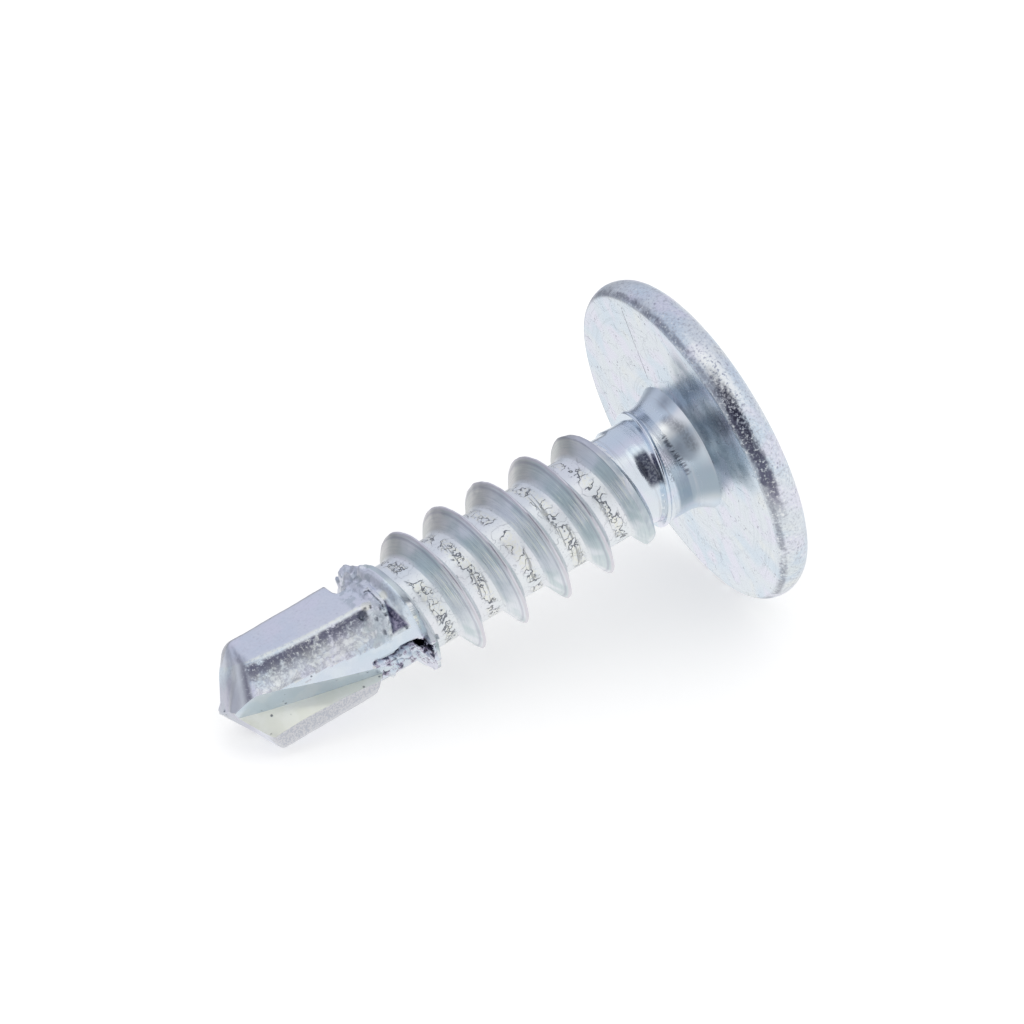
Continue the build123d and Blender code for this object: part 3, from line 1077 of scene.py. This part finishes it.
def drill():
    """Forged grain, with a painted pale highlight on the ridge between broad and side flat and a
    painted dark reflection under it, mottled by the grain.
    """
    look = Look("drill_plating")
    colour, roughness, height, grain, clouds = grained(look, 0.45, 4.0, 14.0)
    swirls = look.noise(look.place, 3.6, 4.0, 0.65)

    # where the broad flat, the side flat and the heel lie, the same on both sides of the drill
    x, y = look.size(look.x), look.times(look.y, look.value("SIGN", look.x))
    along = look.times(look.less(look.z, RIDGE_START), 1 / RIDGE_SWEEP_LENGTH)
    sweep = look.value("POWER", look.largest(along, 0.0), 2.0)
    ridge_y = look.plus(look.times(sweep, RIDGE_SWEEP), RIDGE_OFFSET)
    on_broad = look.largest(look.less(y, ridge_y), 0.0)
    on_side = look.times(look.largest(look.less(BROAD_FLAT, x), 0.0), SIDE_STEEPNESS)
    off_ridge = look.less(on_broad, on_side)
    off_side = look.less(SIDE_DISTANCE, look.sum((x, SIDE_FACING[0]), (y, SIDE_FACING[1])))
    on_drill = look.times(look.step(look.z, DRILL_START - 0.1, DRILL_START + 0.2),
                          look.step(look.z, 15.15, 14.95))
    heel_turn = radians(HEEL_TURN)
    heel_out = look.sum((x, cos(heel_turn)), (y, sin(heel_turn)))
    heel_room = look.times(look.less(POINT_LENGTH + HEEL_RISE, look.z), tan(radians(HEEL_ANGLE)))
    before_heel = look.step(look.less(heel_room, heel_out), 0.03, 0.10)
    on_heel = look.times(look.less(1.0, before_heel), look.step(look.z, 14.3, 14.6))
    side = look.times(look.step(off_ridge, -0.06, -0.14), on_drill, before_heel)
    land = look.times(look.step(y, 0.92, 1.0), on_drill)
    chisel = look.times(look.step(look.radius, 1.1, 0.7), look.step(look.z, 15.0, 15.2))

    # marks on them, with a painted highlight on the ridge and a painted dark reflection under it
    # painted highlight along the ridge
    ridge = look.times(look.band(off_ridge, -0.05, 0.07, 0.04), look.step(grain, 0.38, 0.52),
                       on_drill, look.step(look.z, 14.85, 14.70), before_heel)
    # painted dark reflection under the ridge, mottled by the grain and swirls
    scale = look.times(side, look.step(off_ridge, -0.75, -0.20), look.step(swirls, 0.30, 0.50),
                       look.step(grain, 0.68, 0.50))
    # the same painted dark reflection where it runs onto the heel
    crescent = look.largest(look.step(on_side, 0.30, 0.08), look.step(off_side, 0.42, 0.16))
    crescent = look.times(crescent, on_heel, look.step(grain, 0.80, 0.52))
    speckle = look.step(look.noise(look.place, 19.0, 2.0), 0.55, 0.45)
    marbled = look.times(look.band(swirls, 0.46, 0.53, 0.03), side)
    seam = look.times(look.step(look.from_path(SEAM, 1.6), 0.04, 0.015),
                      look.step(grain, 0.60, 0.48))
    flake = look.step(look.away_from(*YELLOW_FLAKE, 1.60), 0.19, 0.10)
    bump = look.step(look.away_from(*BUMP, 1.58), 0.20, 0.12)
    pit = look.step(look.away_from(*PIT, 1.52), 0.22, 0.12)
    crushed = look.times(look.step(look.z, 11.45, 11.25), look.step(look.z, 10.2, 10.5))
    colour = look.paint(
        colour,
        (look.times(on_heel, 0.8), WHITE),
        (look.times(look.step(off_ridge, 0.0, 0.1), 0.55), ZINC_LAVENDER),
        (look.times(side, look.step(clouds, 0.46, 0.58), 0.4), BEIGE),
        (look.times(side, look.step(swirls, 0.56, 0.66), 0.7), WHITE),
        (look.times(look.largest(marbled, chisel), 0.4), PURPLE),
        (look.times(land, 0.85), look.blend(speckle, LAND_GREY, DULL)),
        (look.times(crushed, look.step(swirls, 0.52, 0.44), 0.5), ZINC_TEAL),
        (look.times(scale, 0.92), SIDE_DARK_REFLECTION),
        (look.times(crescent, 0.9), HEEL_DARK_REFLECTION),
        (look.times(ridge, 0.7), RIDGE_HIGHLIGHT_CREAM),
        (look.times(look.largest(flake, bump), 0.7), ZINC_YELLOW),
        (look.times(look.largest(pit, seam), 0.75), GRIME_AND_DARK_REFLECTION),
        (look.times(pocket_paint(look), 0.95),
         look.blend(look.step(swirls, 0.44, 0.60), POCKET_NAVY, POCKET_VIOLET)))
    return look.finish(colour, look.plus(roughness, look.times(scale, 0.15)), height)


def torn():
    """The torn end of the thread beside the drill: bright chips with dark grit between them."""
    look = Look("torn_plating")
    grit = look.noise(look.place, 5.0, 4.0, 0.7)
    crack = look.plus(look.from_path(CREVICE, 1.5),
                      look.sum((look.step(look.z, 10.25, 10.0), -0.06),
                               (look.step(look.z, 10.8, 11.1), 0.05)))
    crack = look.times(look.step(crack, 0.09, 0.03), look.step(grit, 0.60, 0.52))
    colour = look.paint(
        film(look, 0.3),
        (look.step(grit, 0.52, 0.44), GRIT),
        (look.step(grit, 0.44, 0.38), GRIME_AND_DARK_REFLECTION),
        (crack, CRACK))
    return look.finish(colour, look.plus(0.16, look.times(grit, 0.25)), look.times(grit, 24.0))


def smooth_wall(name, tint, share, metallic=1.0):
    """Sheared metal, smooth but for a few specks and the end of the crevice."""
    look = Look(name)
    grain = look.noise(look.place, 9.0, 2.0)
    slow = look.noise(look.place, 1.6, 2.0)
    pits = look.specks(3.4, 0.17, 0.54)
    crack = look.step(look.from_path(CREVICE, 1.5), 0.06, 0.02)
    colour = look.paint(
        film(look, 0.3),
        (share, tint),
        (look.times(look.step(slow, 0.44, 0.62), 0.25), WHITE),
        (look.times(pits, 0.8), GRIME_AND_DARK_REFLECTION),
        (look.times(crack, 0.8), CRACK))
    height = look.sum((grain, 1.0), (slow, 8.0), (pits, -10.0))
    return look.finish(colour, look.plus(0.18, look.times(grain, 0.10)), height, metallic)


def wash():
    return smooth_wall("wash_plating", ZINC_BLUE, 0.7)


def flute_rake():
    return smooth_wall("flute_rake_plating", RAKE_CREAM, 0.95, 0.35)


def flute_back():
    return smooth_wall("flute_back_plating", BACK_BLUE, 0.9, 0.6)


FINISHES = [bearing_face, rim, crown, recess, neck, thread, drill, torn, wash, flute_rake,
            flute_back]
MATERIALS = [make_finish() for make_finish in FINISHES]


def add_slots(piece):
    piece.data.materials.clear()
    for material in MATERIALS:
        piece.data.materials.append(material)


def dress(screw):
    """Gives each face the finish of the stretch where it lies. The flutes already have theirs."""
    flutes = (FINISHES.index(flute_rake), FINISHES.index(flute_back))
    for face in screw.data.polygons:
        if face.material_index not in flutes:
            face.material_index = FINISHES.index(finish_at(face.center, face.normal))


def finish_at(centre, normal):
    turn = degrees(atan2(centre.y, centre.x))
    radius = Vector((centre.x, centre.y)).length
    if centre.z > NECK_LENGTH:
        return shank_finish(turn, centre.z, normal)
    if centre.z > 0.005:
        return neck
    if centre.z > -0.005 and radius < HEAD_RADIUS - 0.2:
        return bearing_face
    if radius > HEAD_RADIUS - 0.9:
        return rim
    inside = radius < RECESS_SPAN / 2 + 0.1 and abs(normal.z + 1) > 0.1
    return recess if inside else crown


def shank_finish(turn, place, normal):
    """Bright up to the first crest, rolled up to the last one, and forged after it."""
    first_crest = NECK_LENGTH + (turn - RUN_IN_TURN) % 360 / 360 * PITCH
    if place < min(first_crest - 0.28, NECK_LENGTH + 0.6):
        return neck
    if TORN_STRETCH[0] - 0.05 < place < TORN_STRETCH[1] and abs(turn - TORN_TURN - 3) < 20:
        return torn
    if place < last_crest(turn) + 0.06:
        return thread
    off_wash = (turn - FLUTE_TURN - WASH_TURN + 90) % 180 - 90
    facing_wash = abs(normal.dot(toward(FLUTE_TURN + WASH_TURN)))
    return wash if place > WASH_START and -12 < off_wash < 26 and facing_wash > 0.99 else drill


# ---- table, light and camera ----

CAMERA_TURN = -32.0
CAMERA_RISE = 33.4
CAMERA_REACH = 0.60
VIEW_WIDTH = 0.0293
VIEW_OFFSET = (-4.84 * MM, -1.85 * MM)      # from the bearing face's centre, right and up

PAPER_WHITE = (1, 1, 1, 1)
FRONT_LIGHT = (0.95, 0.96, 0.98, 1)
BACK_LIGHT = (0.68, 0.70, 0.78, 1)
DARK_GAP = (0.05, 0.055, 0.09, 1)
GREY_GAP = (0.20, 0.21, 0.26, 1)
LAMP = (1.15, 1.15, 1.12, 1)
TABLE_GREY = (0.72, 0.72, 0.72, 1)
TABLE_LIFT = 0.42
TABLE_SHADE = (0.35, 0.36, 0.40, 1)
TABLE_SHADE_TURN = 130.0
TABLE_SHADE_SPAN = (7 * MM, 18 * MM)

# openings of the tent: turn, rise, radius and softness in degrees, and what shows through
OPENINGS = [
    (-145.0, 76.0, 15.0, 7.0, LAMP),
    (-122.4, 33.4, 26.0, 3.0, DARK_GAP),
    (130.0, 28.0, 11.0, 6.0, GREY_GAP),
]


def camera_axes():
    turn, rise = radians(CAMERA_TURN), radians(CAMERA_RISE)
    right = Vector((cos(turn), sin(turn), 0))
    back = Vector((sin(turn) * cos(rise), -cos(turn) * cos(rise), sin(rise)))
    return right, back.cross(right), back


def add_camera():
    right, up, back = camera_axes()
    middle = LAY @ Vector((0, 0, 0)) + right * VIEW_OFFSET[0] + up * VIEW_OFFSET[1]
    data = bpy.data.cameras.new("camera")
    data.sensor_width = 36
    data.lens = data.sensor_width * CAMERA_REACH / VIEW_WIDTH
    data.clip_start = 0.01
    data.clip_end = 10
    camera = bpy.data.objects.new("camera", data)
    camera.matrix_world = Matrix.Translation(middle + back * CAMERA_REACH) @ Matrix(
        (right, up, back)).transposed().to_4x4()
    bpy.context.scene.collection.objects.link(camera)
    bpy.context.scene.camera = camera


def add_table():
    """White table with a soft shadow. The metal sees it plain white, and grey far behind."""
    nothing_selected()
    bpy.ops.mesh.primitive_plane_add(size=1.2)
    table = named("table")
    paper = Nodes(bpy.data.materials.new("white_table"))
    shader = paper.tree.nodes["Principled BSDF"]
    shader.inputs["Base Color"].default_value = TABLE_GREY
    shader.inputs["Roughness"].default_value = 0.8
    shader.inputs["Specular IOR Level"].default_value = 0.0
    rays = paper.add("LightPath").outputs
    shader.inputs["Emission Color"].default_value = PAPER_WHITE
    paper.give(shader.inputs["Emission Strength"], paper.times(rays["Is Camera Ray"], TABLE_LIFT))
    behind = paper.dot(paper.add("TexCoord").outputs["Object"], toward(TABLE_SHADE_TURN))
    seen = paper.blend(paper.step(behind, *TABLE_SHADE_SPAN), PAPER_WHITE, TABLE_SHADE)
    mirrored = paper.largest(rays["Is Glossy Ray"], rays["Is Transmission Ray"])
    mirror = paper.add("MixShader", Fac=mirrored)
    paper.give(mirror.inputs[1], shader.outputs[0])
    paper.give(mirror.inputs[2], paper.add("Emission", Color=seen).outputs[0])
    paper.give(paper.tree.nodes["Material Output"].inputs["Surface"], mirror.outputs[0])
    table.data.materials.append(paper.owner)


def add_light():
    """A pale tent with a lamp overhead, a dark opening in front and a grey gap behind."""
    world = bpy.data.worlds.new("studio")
    tent = Nodes(world)
    direction = tent.add("TexCoord").outputs["Generated"]
    behind = tent.step(tent.dot(direction, (0, 1, 0)), -0.6, 0.5)
    light = tent.blend(behind, FRONT_LIGHT, BACK_LIGHT)
    for turn, rise, radius, softness, colour in OPENINGS:
        middle = toward(turn) * cos(radians(rise)) + Vector((0, 0, sin(radians(rise))))
        inside = tent.step(tent.dot(direction, middle), cos(radians(radius + softness)),
                           cos(radians(radius - softness)))
        light = tent.blend(inside, light, colour)
    rays = tent.add("LightPath").outputs
    unmirrored = tent.largest(rays["Is Camera Ray"], rays["Is Diffuse Ray"])
    seen = tent.blend(unmirrored, light, PAPER_WHITE)
    tent.give(tent.tree.nodes["Background"].inputs["Color"], seen)
    bpy.context.scene.world = world


# ---- making ----

bpy.context.scene.view_settings.view_transform = "Standard"
add_camera()
screw = make_screw()
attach(screw, "root")
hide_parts("self_drilling_screw")
add_table()
add_light()
